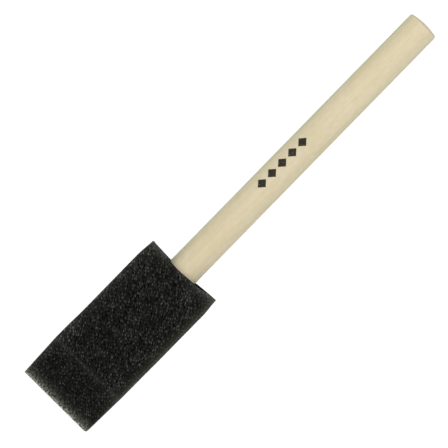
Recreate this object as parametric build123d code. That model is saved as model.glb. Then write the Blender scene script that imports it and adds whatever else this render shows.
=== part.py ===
"""Foam sponge brush, 1 inch wide: a wood dowel handle, a plastic stiffener blade and a bevelled foam head.

The brush lies on its back face. +X runs along the handle towards the butt end, +Y across the head
and +Z up out of the head's front face. The origin is the bottom centre of the whole brush.
All sizes are in millimetres.
"""

from build123d import *
import os

# Foam head
HEAD_WIDTH = 25.4
HEAD_THICKNESS = 12.5
HEAD_LENGTH = 53.7
BEVEL_LENGTH = 13.3
TIP_THICKNESS = 1.0
MOUTH_DIP = 1.3          # how far the foam's top edge sags between its corners
MOUTH_DEPTH = 7.0        # how deep the slit stays open beside the dowel
MOUTH_HALF_WIDTH = 9.0   # from the axis to where the slit closes
MOUTH_GRIP = 0.3         # how far the slit's edges would cut into the dowel, so they meet it cleanly

# Wood dowel
DOWEL_DIAMETER = 9.8
DOWEL_LENGTH = 127.0
DOWEL_INSERTION = 27.7   # length held inside the foam
SHANK_RELIEF = 0.2       # how much thinner each side is inside the foam, to make room for glue
SHOULDER_GAP = 0.2       # from the lowest point of the foam's top edge to the full diameter
BUTT_CROWN = 0.65        # height of the domed end
BUTT_ROUND = 0.7         # radius where the dome meets the side
LEAD_CHAMFER = 0.8
SLOT_DEPTH = 18.0

# Plastic stiffener blade
BLADE_THICKNESS = 1.2
BLADE_WIDTH = 19.0
BLADE_START = 8.0        # from the foam's tip to the blade's leading edge
BLADE_EDGE = 0.6         # thickness at the leading edge
BLADE_TAPER = 11.0       # length over which the blade thins
BLADE_CORNER = 4.0
KEY_HOLE_RADIUS = 1.1
KEY_HOLE_SPACING = 5.5

# Steel staple
WIRE_DIAMETER = 0.8
CROWN_WIDTH = 6.4
LEG_END = -3.9           # how far below the axis the legs reach
STAPLE_BEND = 0.9
STAPLE_SETBACK = 5.0     # from the dowel's inner end to the first leg

# Hot-melt adhesive
FILM_TOP = 0.8           # from the axis to the outer face of the film on each side of the blade
FILM_INSET = 1.0
COLLAR_BACK = 3.0        # from the foam's mouth to the end of the glue round the dowel

# Worked out from the sizes above
RADIUS = DOWEL_DIAMETER / 2
SHANK_RADIUS = RADIUS - SHANK_RELIEF
DOWEL_START = HEAD_LENGTH - DOWEL_INSERTION
SHOULDER = HEAD_LENGTH - MOUTH_DIP + SHOULDER_GAP
BUTT_END = DOWEL_START + DOWEL_LENGTH
SLOT_END = DOWEL_START + SLOT_DEPTH
BLADE_LENGTH = SLOT_END - BLADE_START
ON_FLOOR = Pos(-BUTT_END / 2, 0, HEAD_THICKNESS / 2)


def rod(radius, start, end):
    """A round rod on the brush's axis, from one distance from the tip to another."""
    length = end - start
    return Plane.YZ.offset(start + length / 2) * Cylinder(radius, length)


def slab(start, end, width, low, high):
    """A box from start to end along the brush, centred across it, from low to high."""
    length, height = end - start, high - low
    return Pos(start + length / 2, 0, low + height / 2) * Box(length, width, height)


def dowel_blank():
    """The dowel: crowned and eased at the butt, slimmer and chamfered where the foam holds it."""
    side = BUTT_END - BUTT_CROWN
    crown_radius = (RADIUS**2 + BUTT_CROWN**2) / (2 * BUTT_CROWN)
    halfway = BUTT_END - crown_radius + (crown_radius**2 - (RADIUS / 2) ** 2) ** 0.5
    profile = make_face([
        Polyline(
            (DOWEL_START, 0), (DOWEL_START, SHANK_RADIUS - LEAD_CHAMFER),
            (DOWEL_START + LEAD_CHAMFER, SHANK_RADIUS), (SHOULDER, SHANK_RADIUS),
            (SHOULDER, RADIUS), (side, RADIUS),
        ),
        ThreePointArc((side, RADIUS), (halfway, RADIUS / 2), (BUTT_END, 0)),
        Line((BUTT_END, 0), (DOWEL_START, 0)),
    ])
    rim = profile.vertices().group_by(Axis.Y)[-1].sort_by(Axis.X)[-1]
    return Rot(X=-90) * revolve(fillet(rim, BUTT_ROUND), Axis.X)


def staple():
    """A U-shaped wire staple, its crown flush with the front of the dowel's shank."""
    first = DOWEL_START + STAPLE_SETBACK
    second = first + CROWN_WIDTH
    crown = SHANK_RADIUS - WIRE_DIAMETER / 2
    corners = [(first, 0, LEG_END), (first, 0, crown), (second, 0, crown), (second, 0, LEG_END)]
    path = FilletPolyline(*corners, radius=STAPLE_BEND)
    section = Plane(corners[0], z_dir=(0, 0, 1)) * Circle(WIRE_DIAMETER / 2)
    return sweep(section, path=path)


def key_holes(radius):
    """Rods through the blade where the adhesive keys one face to the other."""
    first = BLADE_START + BLADE_TAPER / 2
    spots = [
        (first + row * KEY_HOLE_SPACING, side * KEY_HOLE_SPACING)
        for row in range(3)
        for side in (-1, 0, 1)
    ]
    return [Pos(x, y, 0) * Cylinder(radius, BLADE_THICKNESS) for x, y in spots]


def blade_outline(inset):
    """The blade seen from the front, drawn in by inset on every side."""
    length = BLADE_LENGTH - 2 * inset
    centre = BLADE_START + BLADE_LENGTH / 2
    plan = Pos(centre, 0) * Rectangle(length, BLADE_WIDTH - 2 * inset)
    leading = plan.vertices().group_by(Axis.X)[0]
    return fillet(leading, BLADE_CORNER - inset)


def stiffener_blade():
    """A flat moulded blade that thins towards the tip and has key holes for the adhesive."""
    flat, edge = BLADE_THICKNESS / 2, BLADE_EDGE / 2
    full = BLADE_START + BLADE_TAPER
    side_view = Plane.XZ * make_face(Polyline(
        (BLADE_START, -edge), (full, -flat), (SLOT_END, -flat),
        (SLOT_END, flat), (full, flat), (BLADE_START, edge), close=True,
    ))
    plate = extrude(side_view, BLADE_WIDTH / 2, both=True)
    plate &= extrude(blade_outline(0), BLADE_THICKNESS, both=True)
    return plate - key_holes(KEY_HOLE_RADIUS) - staple()


def handle_dowel():
    """The dowel with the blade's saw slot and the staple's holes."""
    reach = 2 * RADIUS
    slot = slab(DOWEL_START - reach, SLOT_END, reach + 1, -BLADE_THICKNESS / 2, BLADE_THICKNESS / 2)
    return dowel_blank() - slot - staple()


def glue_film(side):
    """Adhesive on one face of the blade. The front film also fills the key holes."""
    plan = extrude(blade_outline(FILM_INSET), side * FILM_TOP)
    film = plan - stiffener_blade() - key_holes(KEY_HOLE_RADIUS) - dowel_blank()
    if side > 0:
        film += key_holes(KEY_HOLE_RADIUS)
    return film


def glue_collar():
    """Adhesive round the shank, notched where the blade stands out of the slot."""
    start, end = DOWEL_START + LEAD_CHAMFER, HEAD_LENGTH - COLLAR_BACK
    tube = rod(RADIUS, start, end) - rod(SHANK_RADIUS, start, end)
    return tube - slab(DOWEL_START, SLOT_END, 4 * RADIUS, -FILM_TOP, FILM_TOP)


def foam_block():
    """The cut foam: a bar with a chisel tip and a top edge that sags between its corners."""
    half, tip = HEAD_THICKNESS / 2, TIP_THICKNESS / 2
    side_view = Plane.XZ * make_face(Polyline(
        (0, -tip), (BEVEL_LENGTH, -half), (HEAD_LENGTH, -half),
        (HEAD_LENGTH, half), (BEVEL_LENGTH, half), (0, tip), close=True,
    ))
    bar = extrude(side_view, HEAD_WIDTH / 2, both=True)
    sag_radius = ((HEAD_WIDTH / 2) ** 2 + MOUTH_DIP**2) / (2 * MOUTH_DIP)
    sag = Cylinder(sag_radius, 2 * HEAD_THICKNESS)
    return bar - Pos(HEAD_LENGTH - MOUTH_DIP + sag_radius, 0, 0) * sag


def mouth_gap():
    """The slit where the dowel holds it open: taut foam from the dowel's sides to the slit's ends."""
    grip_radius = SHANK_RADIUS - MOUTH_GRIP
    touch = grip_radius**2 / MOUTH_HALF_WIDTH
    lift = (grip_radius**2 - touch**2) ** 0.5
    opening = Polyline(
        (MOUTH_HALF_WIDTH, 0), (touch, lift), (-touch, lift),
        (-MOUTH_HALF_WIDTH, 0), (-touch, -lift), (touch, -lift), close=True,
    )
    closed_scale = grip_radius / MOUTH_HALF_WIDTH
    outer = Plane.YZ.offset(HEAD_LENGTH) * make_face(opening)
    inner = Plane.YZ.offset(HEAD_LENGTH - MOUTH_DEPTH) * scale(make_face(opening), closed_scale)
    return loft([inner, outer])


def foam_head():
    """The foam block with its pocket for the blade, the dowel and the adhesive."""
    held = [dowel_blank(), stiffener_blade(), glue_film(1), glue_film(-1), glue_collar(), staple()]
    foam = foam_block() - mouth_gap()
    for part in held:
        foam -= part
    return foam


PARTS = {
    "handle_dowel": handle_dowel,
    "stiffener_blade": stiffener_blade,
    "blade_staple": staple,
    "glue_film_front": lambda: glue_film(1),
    "glue_film_rear": lambda: glue_film(-1),
    "glue_collar": glue_collar,
    "foam_head": foam_head,
}

os.makedirs("parts", exist_ok=True)
for name, make in PARTS.items():
    export_step(ON_FLOOR * make(), f"parts/{name}.step")
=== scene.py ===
"""Looks of the foam sponge brush: fine cut foam, a bare sanded dowel, and the parts they hide.

The scene is in metres in the row frame: +X along the handle towards the butt, +Z up out of the
head's front face. Lengths in this file are in millimetres, unless they say metres, and become
metres where they are used.
"""

import math

import bpy
import numpy as np
from mathutils import Matrix, Vector


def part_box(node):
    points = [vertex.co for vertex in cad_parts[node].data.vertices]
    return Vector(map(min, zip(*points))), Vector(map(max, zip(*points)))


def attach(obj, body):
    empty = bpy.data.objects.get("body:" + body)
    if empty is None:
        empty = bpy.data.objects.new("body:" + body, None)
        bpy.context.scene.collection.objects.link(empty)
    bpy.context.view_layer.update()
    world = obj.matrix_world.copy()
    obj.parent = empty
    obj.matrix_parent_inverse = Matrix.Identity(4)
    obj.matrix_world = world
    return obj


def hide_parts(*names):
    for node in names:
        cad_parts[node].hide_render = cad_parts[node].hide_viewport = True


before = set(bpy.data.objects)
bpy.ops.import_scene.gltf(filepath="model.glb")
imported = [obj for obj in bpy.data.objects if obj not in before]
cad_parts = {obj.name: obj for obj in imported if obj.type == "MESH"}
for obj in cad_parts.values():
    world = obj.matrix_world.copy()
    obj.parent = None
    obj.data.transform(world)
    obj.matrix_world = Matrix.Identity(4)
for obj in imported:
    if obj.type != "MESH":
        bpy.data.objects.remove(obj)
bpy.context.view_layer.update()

MM = 0.001

# Foam: its block and its cells
VOXEL = 0.22             # spacing of the fine foam mesh
EDGE_ROUND = 0.9         # radius of the head's long edges
EDGE_SHARE = 0.7         # the most that it takes of half the thickness
CLEARANCE = 0.02         # room left between the foam's skin and its CAD solid
CELL = 0.50              # usual width of a foam cell
FLECK = 0.42             # usual width of a fleck with a painted glint
CELL_STRETCH = 2.3       # how much longer than wide the cells are
CELL_TURN = 36           # degrees from the brush's axis to the cells' long way
PIT_DEPTH = 0.2          # at the most
PIT_WALL = (0.04, 0.32)  # from a cell's wall, in cells: where its pit starts and where it is full
PIT_TIP = (3, 0.1)       # from the tip to where pits are full depth, and their share of it at the tip
PIT_EDGE = (0.5, 2, 0.2)  # from the head's outline: where they deepen, are full, and their share before
SWELL = 0.06             # depth of the cut faces' slow unevenness
SWELL_SIZE = 9           # the swells are about 1.5 times as wide

# Foam: the sides, cut in a little
SLIM = 0.2               # how much the +Y side is cut in behind the bevel
SLIM_RISE = (17, 26)     # from the tip: where that cut starts and where it is full
SLIM_SHARE = 0.7         # how much of it the -Y side has at the tip
SLIM_FALL = (35, 10)     # from the tip: where the -Y side's cut starts and where it is full

# Foam: the chisel tip
BEVEL_LENGTH = 13.7      # a little longer than in CAD, so the bevel lies inside the CAD solid
TIP_THICKNESS = 1.0      # of the plain chisel, before the tip is thinned
TIP_THIN = 0.45          # share of its thickness that the tip keeps at its very edge
TIP_THIN_LENGTH = 1.6    # from the tip to where the foam has its full thickness
TIP_CORNER = 0.9         # radius of the tip's worn -Y corner
FRAY = 0.05              # depth of the tip's ragged edge
FRAY_SIZE = 0.5          # its notches are about 1.5 times as wide
FRAY_LENGTH = 2.5        # from the tip to where the wear and the fraying end
TEAR_TURN = 22           # degrees from the brush's axis to the frayed tip's splits and streaks
SPLIT_SPACING = 0.3      # between the splits in the frayed tip
SPLIT_WIDTH = 0.09       # usual width of a split at the edge
SPLIT_LENGTH = 1.5       # usual length of a split
SPLIT_RANGE = (0.3, 1.7)  # each split's own width and length, as shares of the usual
SPLIT_SHIFT = 0.25       # how far it may be out of its place, as a share of the spacing
SPLIT_TURN = 5           # degrees that it may be turned off the others
SPLIT_CORNERS = 0.5      # how much smaller the splits are at the tip's corners than in its middle
SPLIT_REACH = 2.5        # how far above and below the axis the splits cut
SPLIT_LEAD = 0.5         # how far in front of the tip they start

# Foam: the mouth, where the dowel goes in
MOUTH_DIP = 0.88         # how far the end face sags between its corners
MOUTH_SLANT = 0.4        # how much further the -Y corner reaches than the +Y one
MOUTH_BACK = 0.12        # how far the end face draws back everywhere
SAG_MIDDLE = 0.5         # the sag is deepest this far from the axis, towards +Y
SAG_ROUND = 0.6          # how far the sag's lowest point is rounded
SAG_POWER = 1.25         # how the sag deepens towards its middle: 1 is evenly
SAG_POWER_SLANT = 0.3    # how much lower that power is at the +Y corner, and higher at the -Y one
FLAP_SCOOP = 0.45        # how far the front flap draws back beside the dowel
SCOOP_PLACE = -6.4       # from the axis to the deepest point of that scoop
SCOOP_WIDTH = 2.2        # from there to where it is 1/e as deep
FLAP_POKE = 0.4          # how much further the front flap reaches than the rear one at the +Y corner
POKE_START = 10          # from the axis to where that starts
CUT_REACH = 10           # how far from the axis the blocks that cut the end face reach
MOUTH_PINCH = 0.4        # how far each side pulls in at the mouth
PINCH_LENGTH = 6.0       # length over which they do
MOUTH_REACH = 0.65       # how far the flaps may stand past their CAD solid beside the dowel
REACH_OVER = 0.5         # share of that reach in front of and behind the dowel
REACH_RISE = (4.0, 5.8)  # from the axis: where that reach starts and where it is full
REACH_FALL = 9.5         # from the axis to where it starts to fall again towards the corners
REACH_LENGTH = (4, 1.6)  # from the head's end: where it starts and where it is full
GAP_WIDTH = 9.0          # from the axis to where the slit closes
GAP_SLOPE = 0.56         # how fast the slit opens from there towards the dowel
GAP_SHARE = 0.9          # how wide it opens at most, as a share of the dowel
GAP_START = (20, 22)     # from the tip: where the painted shade on its walls starts and where it is full
GAP_BLUR = (0.3, 0.9)    # past its opening: where that painted shade starts to lift and where it ends
GAP_SHADE = 0.85         # how dark the painted shade is, from 0 to 1

# Foam: painted light where it thins out at the tip and along its edges, which makes it look paler.
# Strengths go from 0 to 1, and a glow's length is to 1/e
TIP_GLOW = (0.72, 0.53)  # strength in the middle and at the corners
TIP_GLOW_LENGTH = 0.8
RIDGE_GLOW = 0.025
RIDGE_GLOW_LENGTH = 0.6
STREAK_LENGTH = 2.2      # usual size of the streaks in both
STREAK_WIDTH = 0.3
STREAK_RANGE = (0.25, 2.2)  # what the streaks multiply the glow by
STRUT_GLOW = (1.8, 0.5)  # the other glows are multiplied by this times a glint's brightness, plus this
SIDE_GLOW = (0.044, 0.108)  # strength at the -Y and the +Y side
SIDE_GLOW_LENGTH = 0.95
OLIVE_EDGE = (1.1, 0.4)  # from the +Y side: where its olive tint starts and where it is full
MOUTH_GLOW = (0.07, 0.115)  # strength on the end face and at the front and back
MOUTH_GLOW_LENGTH = 0.95
MOUTH_GLOW_SKIN = (1.5, 0.3)  # from the front or back: where it grows and where it is full
MOUTH_GLOW_BESIDE = (4, 7)  # from the axis: where it grows and where it is full
MOUTH_GLOW_SHARE = 0.45  # share of it that is left over the dowel
MOUTH_GLOW_BACK = 1.35   # from the head's end to the glow's middle, on the axis
MOUTH_GLOW_SAG = 0.9     # how much further out that middle is at the corners
MOUTH_GLOW_SLANT = 0.2   # how much further still at the -Y corner, and less far at the +Y one

# Foam: its painted glints, highlights painted into its colour. Their brightness goes from 0 to 1
FLECK_LIGHT = 0.69       # at the middle of the brightest flecks
FLECK_BLUR = (0.15, 0.6)  # from a fleck's middle, in flecks: where it starts to dim and where it ends
FLECK_DARK = 0.2         # share of the flecks that don't glint
STRUT_LIGHT = 0.12       # along the cells' walls
STRUT_BLUR = (0.03, 0.2)  # from a cell's wall, in cells: where the strut starts to dim and where it ends
CLOUD_RANGE = (0.75, 1.25)  # what slow clouds multiply both by
MIDDLE_SHARE = 0.82      # how bright they are down the head's middle
MIDDLE_WIDTH = (3, 10.5)  # from the axis: where they start to brighten and where they are full
CALM_SIDE = 0.65         # how much calmer they are along the -Y side
CALM_FROM_SIDE = (0.2, 3.0)  # from that side: where they are calmest and where the calm ends
CALM_FROM_FACE = (1.7, 0.5)  # from the front or back: where the calm starts and where it is full
CALM_BEVEL = 0.14        # how much calmer they are on the bevel
CALM_LEVEL = 0.1         # brightness that they calm to

# Dowel
SHANK_RELIEF = 0.2       # how much thinner the dowel is all round inside the foam
SHANK_LENGTH = 26.5      # from the dowel's inner end to where it starts to widen
SHOULDER_LENGTH = 0.6    # length over which the shank widens to the full dowel
LEAD_CHAMFER = 0.8       # at the inner end
BUTT_CROWN = 0.65        # height of the domed end
BUTT_ROUND = 0.7         # radius where the dome meets the side
END_GRAIN_EDGE = (-0.5, -0.15)  # from the dome: where the darker end grain starts and where it is full
SEGMENTS = 160           # in the dowel's round

# Ink mark printed on the dowel: a plain row of lozenges
MARK_START = 8.6         # from the brush's middle to the row's start
MARK_LENGTH = 20.8       # of the whole row
MARK_COUNT = 5
MARK_HEIGHT = 3.2        # of a lozenge, across the dowel
MARK_SIDE = 1.1          # how far the row's middle is from the top of the dowel, towards +Y
MARK_FILL = 0.84         # a lozenge's length as a share of the room that it has in the row
MARK_EDGE = (0.94, 1.02)  # from a lozenge's middle, 1 at its outline: where its ink fades and ends
MARK_INK = (0.8, 0.97)   # how much of the wood the ink hides, where it is worn and where it isn't

# Stage
FLOOR_REACH = 2.0        # metres from the middle to the floor's edges
FLOOR_GLOW = 0.96
WORLD_LIGHT = 0.42
KEY_PLACE = (0.5, -0.12, 0.9)  # metres
KEY_SIZE = 0.6           # metres
KEY_POWER = 7.4          # watts
CAMERA_LEAN = (1.0, 5.0)  # degrees from straight above, towards the butt and towards -Y
HANDLE_TURN = 45.67      # degrees from the picture's level to the handle
AIM = (-5.4, 1.16, 6.25)  # the point that the camera looks at
CAMERA_DISTANCE = 1.2    # metres
LENS = 333.5

foam_low, foam_high = (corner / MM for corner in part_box("foam_head"))
dowel_low, dowel_high = (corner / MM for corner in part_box("handle_dowel"))
AXIS_Z = (dowel_low.z + dowel_high.z) / 2
RADIUS = (dowel_high.y - dowel_low.y) / 2
HALF_WIDTH = (foam_high.y - foam_low.y) / 2
HALF_THICKNESS = (foam_high.z - foam_low.z) / 2
HEAD_LENGTH = foam_high.x - foam_low.x


# ---------------------------------------------------------------- helpers

def smoothstep(edge_0, edge_1, value):
    """0 before edge_0, 1 after edge_1, smooth between them. Works on numbers and arrays."""
    t = np.clip((value - edge_0) / (edge_1 - edge_0), 0, 1)
    return t * t * (3 - 2 * t)


def link(piece):
    bpy.context.scene.collection.objects.link(piece)
    return piece


def bake_modifiers(piece):
    """Applies the piece's modifiers to its mesh."""
    depsgraph = bpy.context.evaluated_depsgraph_get()
    mesh = bpy.data.meshes.new_from_object(piece.evaluated_get(depsgraph))
    piece.modifiers.clear()
    piece.data = mesh


def read_points(mesh):
    points = np.zeros(len(mesh.vertices) * 3, np.float32)
    mesh.vertices.foreach_get("co", points)
    return points.reshape(-1, 3).astype(float)


def write_points(mesh, points):
    mesh.vertices.foreach_set("co", points.astype(np.float32).ravel())
    mesh.update()


def welded_copy(node):
    """A CAD node's mesh as a hidden cutter, its split vertices joined, so that it is closed."""
    cutter = link(bpy.data.objects.new("cutter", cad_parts[node].data.copy()))
    weld = cutter.modifiers.new("weld", "WELD")
    weld.merge_threshold = 1e-6
    bake_modifiers(cutter)
    return cutter


def box_object(low, high):
    """A plain box between two corners in millimetres, for cutting."""
    ends_x, ends_y, ends_z = zip(low, high)
    corners = [(x, y, z) for x in ends_x for y in ends_y for z in ends_z]
    faces = [(0, 1, 3, 2), (4, 6, 7, 5), (0, 4, 5, 1), (2, 3, 7, 6), (0, 2, 6, 4), (1, 5, 7, 3)]
    mesh = bpy.data.meshes.new("box")
    mesh.from_pydata([Vector(corner) * MM for corner in corners], [], faces)
    return link(bpy.data.objects.new("box", mesh))


def prism(name, outline, place):
    """A closed mesh between two copies of an outline. place gives the two points of each corner."""
    count = len(outline)
    ends = [place(*corner) for corner in outline]
    points = [near for near, _ in ends] + [far for _, far in ends]
    faces = [tuple(range(count)), tuple(reversed(range(count, 2 * count)))]
    for here in range(count):
        after = (here + 1) % count
        faces.append((after, here, here + count, after + count))
    mesh = bpy.data.meshes.new(name)
    mesh.from_pydata(points, [], faces)
    return link(bpy.data.objects.new(name, mesh))


def combine(piece, tool, operation):
    """Cuts or trims the piece with a closed tool, then removes the tool."""
    modifier = piece.modifiers.new("combine", "BOOLEAN")
    modifier.operation = operation
    modifier.solver = "MANIFOLD"
    modifier.object = tool
    bake_modifiers(piece)
    bpy.data.objects.remove(tool)


def paint(piece, material):
    piece.data.materials.clear()
    piece.data.materials.append(material)


def linear(red, green, blue):
    """A colour given as 0 to 255 screen values, as the linear RGBA that shaders take."""
    def one(value):
        share = value / 255
        return share / 12.92 if share <= 0.04045 else ((share + 0.055) / 1.055) ** 2.4
    return (one(red), one(green), one(blue), 1.0)


class Maker:
    """Short ways to add nodes to a shader or geometry tree and wire them."""

    def __init__(self, tree):
        self.tree = tree

    def node(self, kind, inputs=(), **settings):
        node = self.tree.nodes.new(kind)
        for name, value in settings.items():
            setattr(node, name, value)
        for key, value in dict(inputs).items():
            if isinstance(value, bpy.types.NodeSocket):
                self.tree.links.new(value, node.inputs[key])
            else:
                node.inputs[key].default_value = value
        return node

    def math(self, operation, *values, clamp=False):
        inputs = dict(enumerate(values))
        return self.node("ShaderNodeMath", inputs, operation=operation, use_clamp=clamp).outputs[0]

    def stretch(self, vector, factors):
        """The vector with each part multiplied by its factor."""
        inputs = {0: vector, 1: factors}
        return self.node("ShaderNodeVectorMath", inputs, operation="MULTIPLY").outputs[0]

    def split(self, vector):
        return self.node("ShaderNodeSeparateXYZ", {0: vector}).outputs

    def ramp(self, value, low, high, start=0.0, end=1.0):
        """value from low to high, turned smoothly into start to end."""
        inputs = {"Value": value, "From Min": low, "From Max": high, "To Min": start, "To Max": end}
        return self.node("ShaderNodeMapRange", inputs, interpolation_type="SMOOTHSTEP").outputs[0]

    def ramp_mm(self, value, low, high, start=0.0, end=1.0):
        """A ramp between two lengths in millimetres."""
        return self.ramp(value, low * MM, high * MM, start, end)

    def fade(self, distance, length):
        """1 where the distance is 0, falling to 1/e over the length in millimetres."""
        return self.math("EXPONENT", self.math("DIVIDE", distance, -length * MM))

    def noise(self, vector, scale, detail=3.0, roughness=0.5):
        inputs = {"Vector": vector, "Scale": scale, "Detail": detail, "Roughness": roughness}
        return self.node("ShaderNodeTexNoise", inputs, noise_dimensions="3D").outputs["Fac"]

    def mix(self, factor, first, second, blend="MIX"):
        inputs = {0: factor, 6: first, 7: second}
        return self.node("ShaderNodeMix", inputs, data_type="RGBA", blend_type=blend).outputs[2]

    def turned(self, position, degrees, length, width):
        """The position in units of a length, in a direction turned from +X, and of a width across it."""
        turn = {"Vector": position, "Angle": math.radians(-degrees)}
        level = self.node("ShaderNodeVectorRotate", turn, rotation_type="Z_AXIS").outputs[0]
        return self.stretch(level, (1 / (length * MM), 1 / (width * MM), 1 / (width * MM)))

    def along_cells(self, position, size):
        """The position in cells, so that the long cells come out round and one unit wide."""
        return self.turned(position, CELL_TURN, size * CELL_STRETCH, size)

    def flecks(self, position, size):
        """How far each point is from its fleck's middle, in flecks, and the fleck's random number."""
        inputs = {"Vector": self.along_cells(position, size), "Scale": 1.0}
        kind = {"voronoi_dimensions": "3D", "feature": "F1"}
        outputs = self.node("ShaderNodeTexVoronoi", inputs, **kind).outputs
        return outputs["Distance"], self.split(outputs["Color"])[0]

    def cells(self, position, size):
        """How far each point is from the nearest cell wall of a foam, in cells."""
        inputs = {"Vector": self.along_cells(position, size), "Scale": 1.0}
        kind = {"voronoi_dimensions": "3D", "feature": "DISTANCE_TO_EDGE"}
        return self.node("ShaderNodeTexVoronoi", inputs, **kind).outputs["Distance"]


def new_material(name, roughness, specular):
    """An empty material: its maker, its shader and the object's own coordinates."""
    material = bpy.data.materials.new(name)
    material.use_nodes = True
    maker = Maker(material.node_tree)
    shader = material.node_tree.nodes["Principled BSDF"]
    shader.inputs["Roughness"].default_value = roughness
    shader.inputs["Specular IOR Level"].default_value = specular
    position = maker.node("ShaderNodeTexCoord").outputs["Object"]
    return material, maker, shader, position


def finish_material(maker, shader, colour, height, strength, distance):
    """Wires the colour and a bump of the given height map, with distance in millimetres."""
    maker.tree.links.new(colour, shader.inputs["Base Color"])
    bump = {"Height": height, "Strength": strength, "Distance": distance * MM}
    maker.tree.links.new(maker.node("ShaderNodeBump", bump).outputs[0], shader.inputs["Normal"])


# ---------------------------------------------------------------- foam

def foam_bar():
    """The head before it is shaped: a bar with a chisel tip, in millimetres from it, and a bit long."""
    tip = TIP_THICKNESS / 2
    end = HEAD_LENGTH + 2 * MOUTH_REACH
    outline = [
        (0, -tip), (BEVEL_LENGTH, -HALF_THICKNESS), (end, -HALF_THICKNESS),
        (end, HALF_THICKNESS), (BEVEL_LENGTH, HALF_THICKNESS), (0, tip),
    ]
    piece = prism("foam_block", outline, lambda x, z: ((x, HALF_WIDTH, z), (x, -HALF_WIDTH, z)))
    remesh = piece.modifiers.new("fine", "REMESH")
    remesh.mode = "VOXEL"
    remesh.voxel_size = VOXEL
    bake_modifiers(piece)
    return piece


def rounded(points, limits, radius):
    """Rounds the edges of a box with the given half sizes, by moving points near them inwards."""
    inner = np.clip(points, -(limits - radius), limits - radius)
    offset = points - inner
    length = np.linalg.norm(offset, axis=1, keepdims=True)
    reach = np.minimum(length, radius)
    return inner + offset / np.maximum(length, 1e-9) * reach


def waves(points, size, seed):
    """Slow random swells, from about -1 to 1. They are about 1.5 times size millimetres across."""
    random = np.random.default_rng(seed)
    total = np.zeros(len(points))
    for _ in range(12):
        direction = random.normal(size=3)
        phase = random.uniform(0, 2 * math.pi)
        total += np.sin(points @ (direction / size * 2) + phase)
    return total / 6


def shape_foam(points):
    """Rounds the edges, thins and frays the tip, and pulls the sides in."""
    from_tip, side, up = points.T
    thick = np.interp(from_tip, [0, BEVEL_LENGTH], [TIP_THICKNESS / 2, HALF_THICKNESS])
    limits = np.column_stack([np.full_like(thick, HALF_WIDTH), thick])
    radius = np.minimum(EDGE_ROUND, EDGE_SHARE * thick)[:, None]
    across, height = rounded(np.column_stack([side, up]), limits, radius).T

    across_only = np.column_stack([side, 0 * side, 0 * side])
    ragged = np.clip(0.5 + 0.5 * waves(across_only, FRAY_SIZE, seed=5), 0, 1)
    at_tip = 1 - smoothstep(0, FRAY_LENGTH, from_tip)
    past = np.clip(-side - (HALF_WIDTH - TIP_CORNER), 0, TIP_CORNER)
    worn = TIP_CORNER - np.sqrt(TIP_CORNER**2 - past**2)
    pinch = MOUTH_PINCH * smoothstep(HEAD_LENGTH - PINCH_LENGTH, HEAD_LENGTH, from_tip)
    slow = CLEARANCE + SWELL * (0.5 + 0.5 * waves(points, SWELL_SIZE, seed=3))
    tip_share = TIP_THIN + (1 - TIP_THIN) * smoothstep(0, TIP_THIN_LENGTH, from_tip)
    slim_minus = SLIM_SHARE * smoothstep(*SLIM_FALL, from_tip)
    slim = SLIM * np.where(side > 0, smoothstep(*SLIM_RISE, from_tip), slim_minus)

    along = from_tip + at_tip * (FRAY * ragged + worn) + CLEARANCE
    across *= 1 - (pinch + slow + slim) / HALF_WIDTH
    height *= tip_share * (1 - slow / HALF_THICKNESS)
    return np.column_stack([along, across, height])


def foam_cells_modifier(piece):
    """Presses the cells' pits into the skin, in step with the material's own cells."""
    group = bpy.data.node_groups.new("foam_cells", "GeometryNodeTree")
    group.interface.new_socket("Geometry", in_out="INPUT", socket_type="NodeSocketGeometry")
    group.interface.new_socket("Geometry", in_out="OUTPUT", socket_type="NodeSocketGeometry")
    maker = Maker(group)
    position = maker.node("GeometryNodeInputPosition").outputs[0]
    normal = maker.node("GeometryNodeInputNormal").outputs[0]
    pit = maker.ramp(maker.cells(position, CELL), *PIT_WALL)
    along, across, _ = maker.split(position)
    from_tip = maker.math("SUBTRACT", along, foam_low.x * MM)
    thin_length, thin_share = PIT_TIP
    thin = maker.ramp_mm(from_tip, 0.0, thin_length, thin_share, 1.0)
    from_mouth = maker.math("SUBTRACT", HEAD_LENGTH * MM, from_tip)
    from_side = maker.math("SUBTRACT", HALF_WIDTH * MM, maker.math("ABSOLUTE", across))
    from_outline = maker.math("MINIMUM", from_mouth, from_side)
    shallow = maker.ramp_mm(from_outline, *PIT_EDGE, 1.0)
    depth = maker.math("MULTIPLY", maker.math("MULTIPLY", thin, shallow), -PIT_DEPTH * MM)
    depth = maker.math("MULTIPLY", pit, depth)
    inputs = {0: normal, "Scale": depth}
    offset = maker.node("ShaderNodeVectorMath", inputs, operation="SCALE").outputs[0]
    source = maker.node("NodeGroupInput").outputs[0]
    moved = maker.node("GeometryNodeSetPosition", {"Geometry": source, "Offset": offset}).outputs[0]
    maker.node("NodeGroupOutput", {0: moved})
    piece.modifiers.new("cells", "NODES").node_group = group


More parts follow.
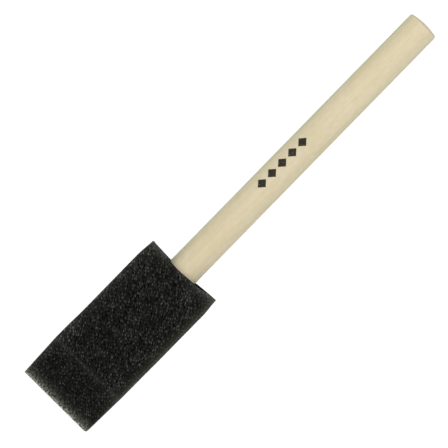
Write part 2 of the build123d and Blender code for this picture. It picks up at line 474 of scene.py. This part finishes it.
def tip_splits():
    """Thin wedges that cut into the tip from its edge, where the foam has frayed along its cells."""
    random = np.random.default_rng(11)
    points, faces = [], []
    reach = HALF_WIDTH - SPLIT_LENGTH
    for spot in np.arange(-reach, reach, SPLIT_SPACING):
        side = spot + random.uniform(-SPLIT_SHIFT, SPLIT_SHIFT) * SPLIT_SPACING
        share = 1 - SPLIT_CORNERS * (side / HALF_WIDTH) ** 2
        width = SPLIT_WIDTH * random.uniform(*SPLIT_RANGE) * share
        length = SPLIT_LENGTH * random.uniform(*SPLIT_RANGE) * share
        turn = math.radians(TEAR_TURN + random.uniform(-SPLIT_TURN, SPLIT_TURN))
        apex = (foam_low.x + length * math.cos(turn), side + length * math.sin(turn))
        before = foam_low.x - SPLIT_LEAD
        drift = SPLIT_LEAD * math.tan(turn)
        outline = [(before, side - drift - width / 2), apex, (before, side - drift + width / 2)]
        first = len(points)
        levels = (AXIS_Z - SPLIT_REACH, AXIS_Z + SPLIT_REACH)
        points += [(x, y, level) for level in levels for x, y in outline]
        sides = [(0, 1, 4, 3), (1, 2, 5, 4), (2, 0, 3, 5), (2, 1, 0), (3, 4, 5)]
        faces += [tuple(first + corner for corner in face) for face in sides]
    mesh = bpy.data.meshes.new("splits")
    mesh.from_pydata([Vector(point) * MM for point in points], [], faces)
    return link(bpy.data.objects.new("splits", mesh))


def foam_limits():
    """The CAD head as a cutter, its end face let out clear of the dowel but not where it grips it."""
    cutter = welded_copy("foam_head")
    points = read_points(cutter.data) / MM
    side, height = np.abs(points[:, 1]), np.abs(points[:, 2] - AXIS_Z)
    beside = smoothstep(*REACH_RISE, side) * smoothstep(HALF_WIDTH, REACH_FALL, side)
    over = REACH_OVER * smoothstep(RADIUS, HALF_THICKNESS, height)
    start, full = (foam_high.x - length for length in REACH_LENGTH)
    at_end = smoothstep(start, full, points[:, 0])
    points[:, 0] += MOUTH_REACH * np.maximum(beside, over) * at_end
    write_points(cutter.data, points * MM)
    return cutter


def end_block(low, high, scoop, poke):
    """A block for cutting the head's end face between two heights, down to the sagging mouth line."""
    side = np.linspace(-1.2 * HALF_WIDTH, 1.2 * HALF_WIDTH, 121)
    share = np.clip(np.hypot(side - SAG_MIDDLE, SAG_ROUND) / HALF_WIDTH, 0, 1)
    slant = np.clip(side / HALF_WIDTH, -1, 1)
    dip = MOUTH_DIP * (1 - share) ** (SAG_POWER - SAG_POWER_SLANT * slant)
    dip += MOUTH_SLANT * (1 + slant) / 2
    dip += MOUTH_BACK + scoop * np.exp(-(((side - SCOOP_PLACE) / SCOOP_WIDTH) ** 2))
    dip -= poke * smoothstep(POKE_START, HALF_WIDTH, side)
    line = list(zip(foam_high.x - dip, side))
    behind = foam_high.x + 5
    outline = [*line, (behind, side[-1]), (behind, side[0])]
    return prism("end", outline, lambda x, y: (Vector((x, y, low)) * MM, Vector((x, y, high)) * MM))


def foam_head():
    piece = foam_bar()
    points = shape_foam(read_points(piece.data))
    points += (foam_low.x, 0, AXIS_Z)
    write_points(piece.data, points * MM)
    foam_cells_modifier(piece)
    bake_modifiers(piece)
    combine(piece, foam_limits(), "INTERSECT")
    rear_flap = end_block(AXIS_Z - CUT_REACH, AXIS_Z, scoop=0, poke=0)
    combine(piece, rear_flap, "DIFFERENCE")
    front_flap = end_block(AXIS_Z - CLEARANCE, AXIS_Z + CUT_REACH, FLAP_SCOOP, FLAP_POKE)
    combine(piece, front_flap, "DIFFERENCE")
    combine(piece, tip_splits(), "DIFFERENCE")
    piece.data.shade_smooth()
    paint(piece, foam_material())
    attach(piece, "root")
    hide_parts("foam_head")
    return piece


def foam_places(maker, position):
    """At each point: how far from the tip, where across, and how far off the axis, across and up."""
    x, y, z = maker.split(position)
    from_tip = maker.math("SUBTRACT", x, foam_low.x * MM)
    height = maker.math("ABSOLUTE", maker.math("SUBTRACT", z, AXIS_Z * MM))
    return from_tip, y, maker.math("ABSOLUTE", y), height


def foam_glints(maker, position, wall, places):
    """How brightly each point of the cells is lit by painted glints, from 0 to 1."""
    from_tip, across, off_middle, height = places
    distance, chance = maker.flecks(position, FLECK)
    fleck = maker.ramp(distance, *FLECK_BLUR, 1.0, 0.0)
    fleck = maker.math("MULTIPLY", fleck, maker.ramp(chance, FLECK_DARK, 1.0))
    strut = maker.ramp(wall, *STRUT_BLUR, STRUT_LIGHT, 0.0)
    lit = maker.math("MULTIPLY_ADD", fleck, FLECK_LIGHT, strut)
    cloud = maker.ramp(maker.noise(position, 260, 2.0), 0.3, 0.7, *CLOUD_RANGE)
    cloud = maker.math("MULTIPLY", cloud, maker.ramp_mm(off_middle, *MIDDLE_WIDTH, MIDDLE_SHARE, 1.0))
    lit = maker.math("MULTIPLY", lit, cloud, clamp=True)

    calmest, end = CALM_FROM_SIDE
    calm = maker.ramp_mm(across, calmest - HALF_WIDTH, end - HALF_WIDTH, CALM_SIDE, 0.0)
    start, full = CALM_FROM_FACE
    on_face = maker.ramp_mm(height, HALF_THICKNESS - start, HALF_THICKNESS - full)
    calm = maker.math("MULTIPLY", calm, on_face)
    on_bevel = maker.ramp_mm(from_tip, BEVEL_LENGTH - 1, BEVEL_LENGTH + 1, CALM_BEVEL, 0.0)
    calm = maker.math("MAXIMUM", calm, on_bevel)
    return maker.math("MULTIPLY_ADD", calm, maker.math("SUBTRACT", CALM_LEVEL, lit), lit)


def side_glow(maker, places):
    """How much painted light makes the foam paler along its sides, and its colour. The +Y side is olive
    only at its edge.
    """
    _, across, off_middle, _ = places
    strength = maker.ramp_mm(across, -HALF_WIDTH, HALF_WIDTH, *SIDE_GLOW)
    from_side = maker.math("SUBTRACT", HALF_WIDTH * MM, off_middle)
    strength = maker.math("MULTIPLY", maker.fade(from_side, SIDE_GLOW_LENGTH), strength)
    start, full = OLIVE_EDGE
    olive = maker.ramp_mm(across, HALF_WIDTH - start, HALF_WIDTH - full)
    olive = maker.math("MAXIMUM", olive, maker.math("LESS_THAN", across, 0.0))
    return strength, maker.mix(olive, linear(213, 215, 209), linear(215, 216, 178))


def mouth_glow(maker, places):
    """How much painted highlight makes the foam paler along its mouth. The glow follows the sag and is
    weaker over the dowel.
    """
    from_tip, across, off_middle, height = places
    middle = (HEAD_LENGTH - MOUTH_GLOW_BACK) * MM
    slanted = maker.math("MULTIPLY_ADD", across, -MOUTH_GLOW_SLANT / HALF_WIDTH, middle)
    sagged = maker.math("MULTIPLY_ADD", off_middle, MOUTH_GLOW_SAG / HALF_WIDTH, slanted)
    from_mouth = maker.math("ABSOLUTE", maker.math("SUBTRACT", sagged, from_tip))
    start, full = MOUTH_GLOW_SKIN
    strength = maker.ramp_mm(height, HALF_THICKNESS - start, HALF_THICKNESS - full, *MOUTH_GLOW)
    beside = maker.ramp_mm(off_middle, *MOUTH_GLOW_BESIDE, MOUTH_GLOW_SHARE, 1.0)
    strength = maker.math("MULTIPLY", strength, beside)
    return maker.math("MULTIPLY", maker.fade(from_mouth, MOUTH_GLOW_LENGTH), strength)


def tip_glow(maker, position, places):
    """The painted light that makes the foam paler at its thin tip and, as a faint painted highlight,
    along the bevel's ridge, in torn streaks.
    """
    from_tip, _, off_middle, _ = places
    tip = maker.ramp_mm(off_middle, 0.5 * HALF_WIDTH, HALF_WIDTH, *TIP_GLOW)
    tip = maker.math("MULTIPLY", maker.fade(from_tip, TIP_GLOW_LENGTH), tip)
    from_ridge = maker.math("ABSOLUTE", maker.math("SUBTRACT", from_tip, BEVEL_LENGTH * MM))
    ridge = maker.math("MULTIPLY", maker.fade(from_ridge, RIDGE_GLOW_LENGTH), RIDGE_GLOW)
    streaks = maker.noise(maker.turned(position, TEAR_TURN, STREAK_LENGTH, STREAK_WIDTH), 1.0, 2.0)
    streaks = maker.ramp(streaks, 0.38, 0.66, *STREAK_RANGE)
    return maker.math("MULTIPLY", maker.math("ADD", tip, ridge), streaks, clamp=True)


def slit_shade(maker, places):
    """How much painted shade darkens the walls of the slit, beside the dowel."""
    from_tip, _, off_middle, height = places
    opening = maker.math("MULTIPLY_ADD", off_middle, -GAP_SLOPE, GAP_SLOPE * GAP_WIDTH * MM)
    opening = maker.math("MINIMUM", opening, GAP_SHARE * RADIUS * MM)
    past_opening = maker.math("SUBTRACT", height, opening)
    shade = maker.ramp_mm(past_opening, *GAP_BLUR, GAP_SHADE, 0.0)
    return maker.math("MULTIPLY", shade, maker.ramp_mm(from_tip, *GAP_START))


def foam_material():
    """Near-black foam: dark pits, painted glints on its struts, painted light at its thin tip and its
    edges, painted shade in the slit.
    """
    material, maker, shader, position = new_material("black_foam", roughness=0.75, specular=0.03)
    places = foam_places(maker, position)
    wall = maker.cells(position, CELL)
    lit = foam_glints(maker, position, wall, places)
    # Painted glints: the near-black foam turns towards a pale highlight colour as lit rises.
    colour = maker.mix(lit, linear(3, 3, 1), linear(95, 95, 92))
    on_struts = maker.math("MULTIPLY_ADD", lit, *STRUT_GLOW)
    # Painted light along the foam's long sides, stronger where glints are painted.
    side, side_colour = side_glow(maker, places)
    colour = maker.mix(maker.math("MULTIPLY", side, on_struts), colour, side_colour)
    # Painted highlight along the mouth's rim.
    mouth = mouth_glow(maker, places)
    colour = maker.mix(maker.math("MULTIPLY", mouth, on_struts), colour, linear(212, 217, 200))
    # Painted light through the thin tip, and a faint painted highlight on the bevel's ridge.
    colour = maker.mix(tip_glow(maker, position, places), colour, linear(215, 217, 199))
    # Painted shade on the walls of the slit beside the dowel.
    colour = maker.mix(slit_shade(maker, places), colour, linear(3, 3, 3))
    strut = maker.ramp(wall, 0.0, 0.15, 1.0, 0.0)
    finish_material(maker, shader, colour, strut, strength=0.5, distance=0.12)
    return material


# ---------------------------------------------------------------- dowel

def dowel_profile():
    """Points (along the brush, radius) of the dowel's outline, from the shank's end to the butt."""
    start, butt = dowel_low.x, dowel_high.x
    shank = RADIUS - SHANK_RELIEF
    shoulder = start + SHANK_LENGTH
    rows = [(start, 0.0)]
    rows += [(start, shank * share) for share in (0.3, 0.6)]
    rows += [(start, shank - LEAD_CHAMFER), (start + LEAD_CHAMFER, shank)]
    rows += [(x, shank) for x in np.linspace(start + LEAD_CHAMFER, shoulder, 20)[1:]]
    side = butt - BUTT_CROWN
    rows += [(x, RADIUS) for x in np.linspace(shoulder + SHOULDER_LENGTH, side - BUTT_ROUND, 120)]
    crown_radius = (RADIUS**2 + BUTT_CROWN**2) / (2 * BUTT_CROWN)
    flat = RADIUS - BUTT_ROUND
    rim = butt - crown_radius + math.sqrt(crown_radius**2 - flat**2)
    for turn in np.linspace(0, math.pi / 2, 9)[1:]:
        along = side - BUTT_ROUND + (rim - side + BUTT_ROUND) * math.sin(turn)
        rows.append((along, flat + BUTT_ROUND * math.cos(turn)))
    for radius in np.linspace(flat, 0, 12)[1:]:
        rows.append((butt - crown_radius + math.sqrt(crown_radius**2 - radius**2), radius))
    return rows


def lathe(name, profile):
    """A closed mesh turned about the brush's axis. The profile starts and ends on the axis."""
    turns = np.linspace(0, 2 * math.pi, SEGMENTS, endpoint=False)
    points, faces = [], []
    for along, radius in profile[1:-1]:
        points += [(along, radius * math.cos(t), AXIS_Z + radius * math.sin(t)) for t in turns]
    rings = len(profile) - 2
    for ring in range(rings - 1):
        for step in range(SEGMENTS):
            here, there = ring * SEGMENTS + step, ring * SEGMENTS + (step + 1) % SEGMENTS
            faces.append((here, there, there + SEGMENTS, here + SEGMENTS))
    first, last = len(points), len(points) + 1
    points += [(profile[0][0], 0, AXIS_Z), (profile[-1][0], 0, AXIS_Z)]
    for step in range(SEGMENTS):
        after = (step + 1) % SEGMENTS
        faces.append((after, step, first))
        faces.append(((rings - 1) * SEGMENTS + step, (rings - 1) * SEGMENTS + after, last))
    mesh = bpy.data.meshes.new(name)
    mesh.from_pydata([Vector(p) * MM for p in points], [], faces)
    return mesh


def handle():
    piece = link(bpy.data.objects.new("wood_handle", lathe("wood_handle", dowel_profile())))
    blade_low, blade_high = (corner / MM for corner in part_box("stiffener_blade"))
    slot_low = (dowel_low.x - 1, -2 * RADIUS, blade_low.z)
    slot_high = (blade_high.x, 2 * RADIUS, blade_high.z)
    combine(piece, box_object(slot_low, slot_high), "DIFFERENCE")
    combine(piece, welded_copy("blade_staple"), "DIFFERENCE")
    piece.data.shade_smooth()
    piece.data.set_sharp_from_angle(angle=math.radians(40))
    paint(piece, wood_material())
    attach(piece, "root")
    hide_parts("handle_dowel")
    return piece


def ink(maker, position):
    """How much ink there is: nearly 1 inside the printed row of lozenges and 0 elsewhere."""
    x, y, z = maker.split(position)
    pitch = MARK_LENGTH / MARK_COUNT
    place = maker.math("DIVIDE", maker.math("SUBTRACT", x, MARK_START * MM), pitch * MM)
    along = maker.math("ABSOLUTE", maker.math("SUBTRACT", maker.math("FRACT", place), 0.5))
    along = maker.math("DIVIDE", along, MARK_FILL / 2)
    across = maker.math("ABSOLUTE", maker.math("SUBTRACT", y, MARK_SIDE * MM))
    across = maker.math("DIVIDE", across, MARK_HEIGHT / 2 * MM)
    lozenge = maker.ramp(maker.math("ADD", along, across), *MARK_EDGE, 1.0, 0.0)
    from_middle = maker.math("ABSOLUTE", maker.math("SUBTRACT", place, MARK_COUNT / 2))
    in_row = maker.math("LESS_THAN", from_middle, MARK_COUNT / 2)
    on_top = maker.math("GREATER_THAN", z, AXIS_Z * MM)
    worn = maker.ramp(maker.noise(position, 2600, 2.0), 0.28, 0.42, *MARK_INK)
    shape = maker.math("MULTIPLY", maker.math("MULTIPLY", lozenge, in_row), on_top)
    return maker.math("MULTIPLY", shape, worn)


def end_grain(maker, x, y, up):
    """1 on the domed butt end and 0 on the dowel's side."""
    off_axis = maker.math("ADD", maker.math("MULTIPLY", y, y), maker.math("MULTIPLY", up, up))
    crown = maker.math("MULTIPLY", off_axis, BUTT_CROWN / RADIUS**2 / MM)
    past_dome = maker.math("SUBTRACT", maker.math("ADD", x, crown), dowel_high.x * MM)
    return maker.ramp_mm(past_dome, *END_GRAIN_EDGE)


def wood_material():
    """Pale bare wood: faint long grain, short flecks, painted shade towards its round sides and a
    slightly darker butt end.
    """
    material, maker, shader, position = new_material("bare_wood", roughness=0.6, specular=0.15)
    grain = maker.noise(maker.stretch(position, (50, 800, 800)), 1.0, 5.0, 0.6)
    mottle = maker.noise(maker.stretch(position, (500, 900, 900)), 1.0, 2.0)
    flecks = maker.noise(maker.stretch(position, (220, 2600, 2600)), 1.0, 2.0)
    cloud = maker.noise(maker.stretch(position, (60, 150, 150)), 1.0, 2.0)
    figure = maker.math("MULTIPLY_ADD", grain, 0.6, maker.math("MULTIPLY", mottle, 0.4))
    colour = maker.mix(maker.ramp(figure, 0.35, 0.65), linear(218, 205, 171), linear(227, 214, 183))
    colour = maker.mix(maker.ramp(cloud, 0.35, 0.7, 0, 0.5), colour, linear(220, 206, 168))
    colour = maker.mix(maker.ramp(flecks, 0.62, 0.75, 0, 0.3), colour, linear(192, 176, 134))
    x, y, z = maker.split(position)
    # Painted shade: the round dowel darkens towards its sides, with a faint cool tint that is greener on
    # the +Y side.
    off_middle = maker.math("ABSOLUTE", y)
    painted_side_shade = maker.ramp_mm(off_middle, 0.5 * RADIUS, RADIUS)
    to_plus = maker.ramp_mm(y, -0.3 * RADIUS, 0.3 * RADIUS)
    side_shade_tint = maker.mix(to_plus, (0.9, 0.93, 0.93, 1), (0.87, 0.96, 0.95, 1))
    colour = maker.mix(painted_side_shade, colour, side_shade_tint, "MULTIPLY")
    # More painted shade on the -Y side.
    shaded = maker.ramp_mm(y, -0.6 * RADIUS, 0.0, 1.0, 0.0)
    colour = maker.mix(shaded, colour, (0.965, 0.96, 0.965, 1), "MULTIPLY")
    up = maker.math("SUBTRACT", z, AXIS_Z * MM)
    colour = maker.mix(end_grain(maker, x, y, up), colour, (0.7, 0.72, 0.78, 1), "MULTIPLY")
    colour = maker.mix(ink(maker, position), colour, linear(24, 22, 20))
    height = maker.math("ADD", grain, maker.math("MULTIPLY", flecks, 0.5))
    finish_material(maker, shader, colour, height, strength=0.2, distance=0.04)
    return material


# ---------------------------------------------------------------- hidden parts

def blade_material():
    """Milky moulded plastic with faint flow marks."""
    material, maker, shader, position = new_material("milky_plastic", roughness=0.35, specular=0.45)
    flow = maker.noise(maker.stretch(position, (90, 260, 260)), 1.0, 3.0)
    grain = maker.noise(position, 3000, 2.0)
    colour = maker.mix(flow, linear(216, 217, 212), linear(236, 236, 230))
    finish_material(maker, shader, colour, maker.math("ADD", flow, grain), strength=0.15, distance=0.05)
    return material


def wire_material():
    """Bright drawn steel, with fine scratches and a little tarnish."""
    material, maker, shader, position = new_material("drawn_steel", roughness=0.3, specular=0.5)
    shader.inputs["Metallic"].default_value = 1.0
    scratches = maker.noise(maker.stretch(position, (4000, 4000, 300)), 1.0, 3.0)
    tarnish = maker.noise(position, 900, 3.0)
    colour = maker.mix(maker.ramp(tarnish, 0.4, 0.7), linear(186, 186, 183), linear(150, 146, 138))
    finish_material(maker, shader, colour, scratches, strength=0.2, distance=0.02)
    return material


def adhesive_material():
    """Cured hot melt: amber, glossy and lumpy."""
    material, maker, shader, position = new_material("hot_melt", roughness=0.22, specular=0.5)
    lumps = maker.noise(position, 420, 3.0)
    colour = maker.mix(maker.ramp(lumps, 0.3, 0.7), linear(206, 184, 128), linear(230, 214, 168))
    finish_material(maker, shader, colour, lumps, strength=0.4, distance=0.3)
    return material


def hidden_parts():
    """Gives the parts inside the head their own materials, on the CAD's own shapes."""
    paint(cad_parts["stiffener_blade"], blade_material())
    paint(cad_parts["blade_staple"], wire_material())
    adhesive = adhesive_material()
    for name in ("glue_film_front", "glue_film_rear", "glue_collar"):
        paint(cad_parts[name], adhesive)


# ---------------------------------------------------------------- stage

def floor():
    """A flat white floor that glows, so that the soft shadows on it are faint."""
    mesh = bpy.data.meshes.new("floor")
    corners = [(x * FLOOR_REACH, y * FLOOR_REACH, 0) for x, y in ((-1, -1), (1, -1), (1, 1), (-1, 1))]
    mesh.from_pydata(corners, [], [(0, 1, 2, 3)])
    piece = link(bpy.data.objects.new("floor", mesh))
    material, _, shader, _ = new_material("white_sweep", roughness=0.9, specular=0.0)
    shader.inputs["Base Color"].default_value = (0.15, 0.15, 0.15, 1)
    shader.inputs["Emission Color"].default_value = (1, 1, 1, 1)
    shader.inputs["Emission Strength"].default_value = FLOOR_GLOW
    mesh.materials.append(material)


def area_light(name, place, size, power):
    """A square soft light at a place, aimed at the middle of the brush."""
    light = bpy.data.lights.new(name, "AREA")
    light.size = size
    light.energy = power
    lamp = link(bpy.data.objects.new(name, light))
    lamp.location = place
    lamp.rotation_euler = (-Vector(place)).to_track_quat("-Z", "Y").to_euler()


def lights():
    world = bpy.data.worlds.new("studio")
    bpy.context.scene.world = world
    world.use_nodes = True
    background = world.node_tree.nodes["Background"]
    background.inputs["Color"].default_value = (1, 1, 1, 1)
    background.inputs["Strength"].default_value = WORLD_LIGHT
    area_light("key", KEY_PLACE, KEY_SIZE, KEY_POWER)


def camera():
    to_butt, to_side = (math.sin(math.radians(lean)) for lean in CAMERA_LEAN)
    back = Vector((to_butt, -to_side, 0))
    back.z = math.sqrt(1 - back.length_squared)
    along = Vector((1, 0, 0))
    along = (along - along.dot(back) * back).normalized()
    across = back.cross(along)
    turn = math.radians(HANDLE_TURN)
    right = math.cos(turn) * along - math.sin(turn) * across
    up = math.sin(turn) * along + math.cos(turn) * across
    lens = bpy.data.cameras.new("camera")
    lens.lens = LENS
    lens.sensor_width = 36
    lens.clip_end = 10
    eye = link(bpy.data.objects.new("camera", lens))
    place = Vector(AIM) * MM + back * CAMERA_DISTANCE
    eye.matrix_world = Matrix.Translation(place) @ Matrix((right, up, back)).transposed().to_4x4()
    bpy.context.scene.camera = eye


foam_head()
handle()
hidden_parts()
floor()
lights()
camera()

bpy.context.scene.view_settings.view_transform = "Standard"
